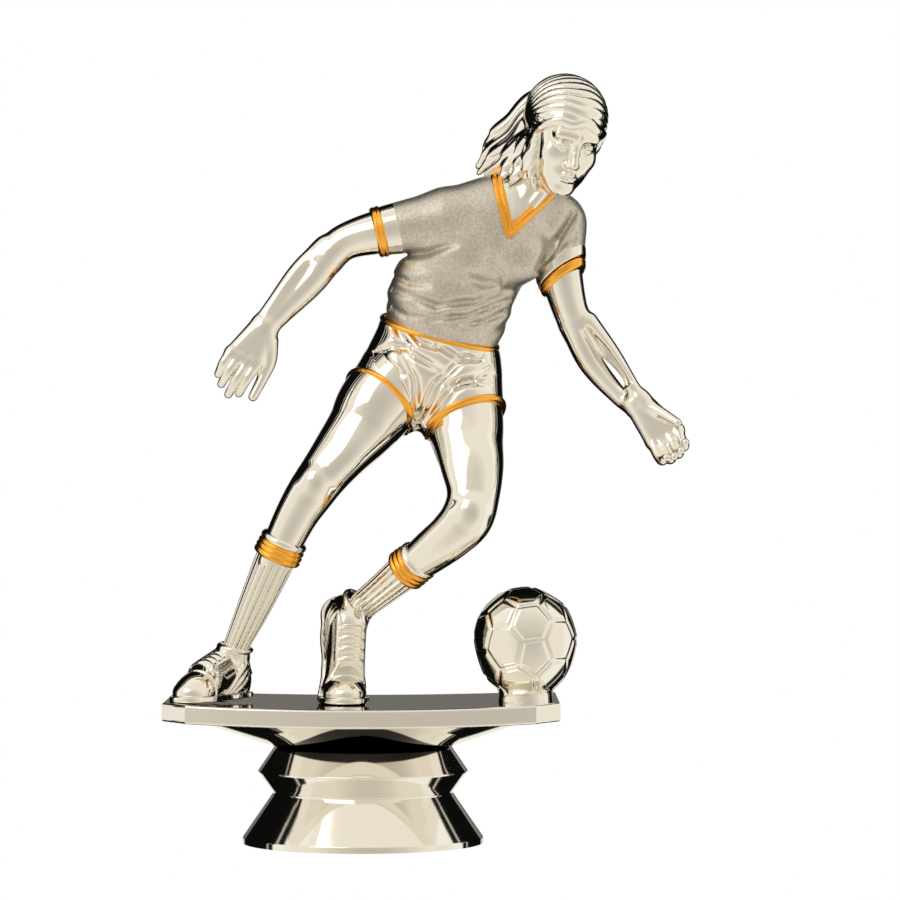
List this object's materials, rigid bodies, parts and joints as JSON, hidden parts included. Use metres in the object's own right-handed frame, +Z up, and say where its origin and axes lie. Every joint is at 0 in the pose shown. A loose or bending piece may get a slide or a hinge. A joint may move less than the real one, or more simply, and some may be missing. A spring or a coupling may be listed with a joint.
{
  "type": "figure trophy",
  "caption": "Plated trophy topper: a footballer with long swept-back hair leans after a ball on a bowed deck over a round waisted pedestal.",
  "frame": {"origin": "centre of the mounting thread's mouth, in the plane the pedestal's foot rests on", "axes": "+Z up, -Y towards a viewer facing the trophy's front, +X to that viewer's right, where the ball is"},
  "size_m": [0.0904, 0.044, 0.1333],
  "materials": {
    "silver_polish": "bright warm silver plating on moulded plastic",
    "silver_satin": "fine sand-blasted texture under the same silver plating",
    "gold_lacquer": "glossy transparent orange-gold lacquer over silver plating",
    "steel": "zinc-plated"
  },
  "bodies": {
    "root": {"pedestal": "silver_polish", "under_deck": "silver_polish", "deck": "silver_polish", "football": "silver_polish", "boot_left": "silver_polish", "boot_right": "silver_polish", "sock_left": "silver_polish", "sock_right": "silver_polish", "thigh_left": "silver_polish", "thigh_right": "silver_polish", "shorts": "silver_polish", "arm_left": "silver_polish", "arm_right": "silver_polish", "head": "silver_polish", "hair": "silver_polish", "shirt_front": "silver_satin", "shirt_back": "silver_satin", "collar_trim": "gold_lacquer", "sleeve_trim_left": "gold_lacquer", "sleeve_trim_right": "gold_lacquer", "waistband": "gold_lacquer", "shorts_hem_left": "gold_lacquer", "shorts_hem_right": "gold_lacquer", "sock_cuff_left": "gold_lacquer", "sock_cuff_right": "gold_lacquer", "mounting_nut": "steel", "deck_screws": "steel"}
  },
  "joints": []
}
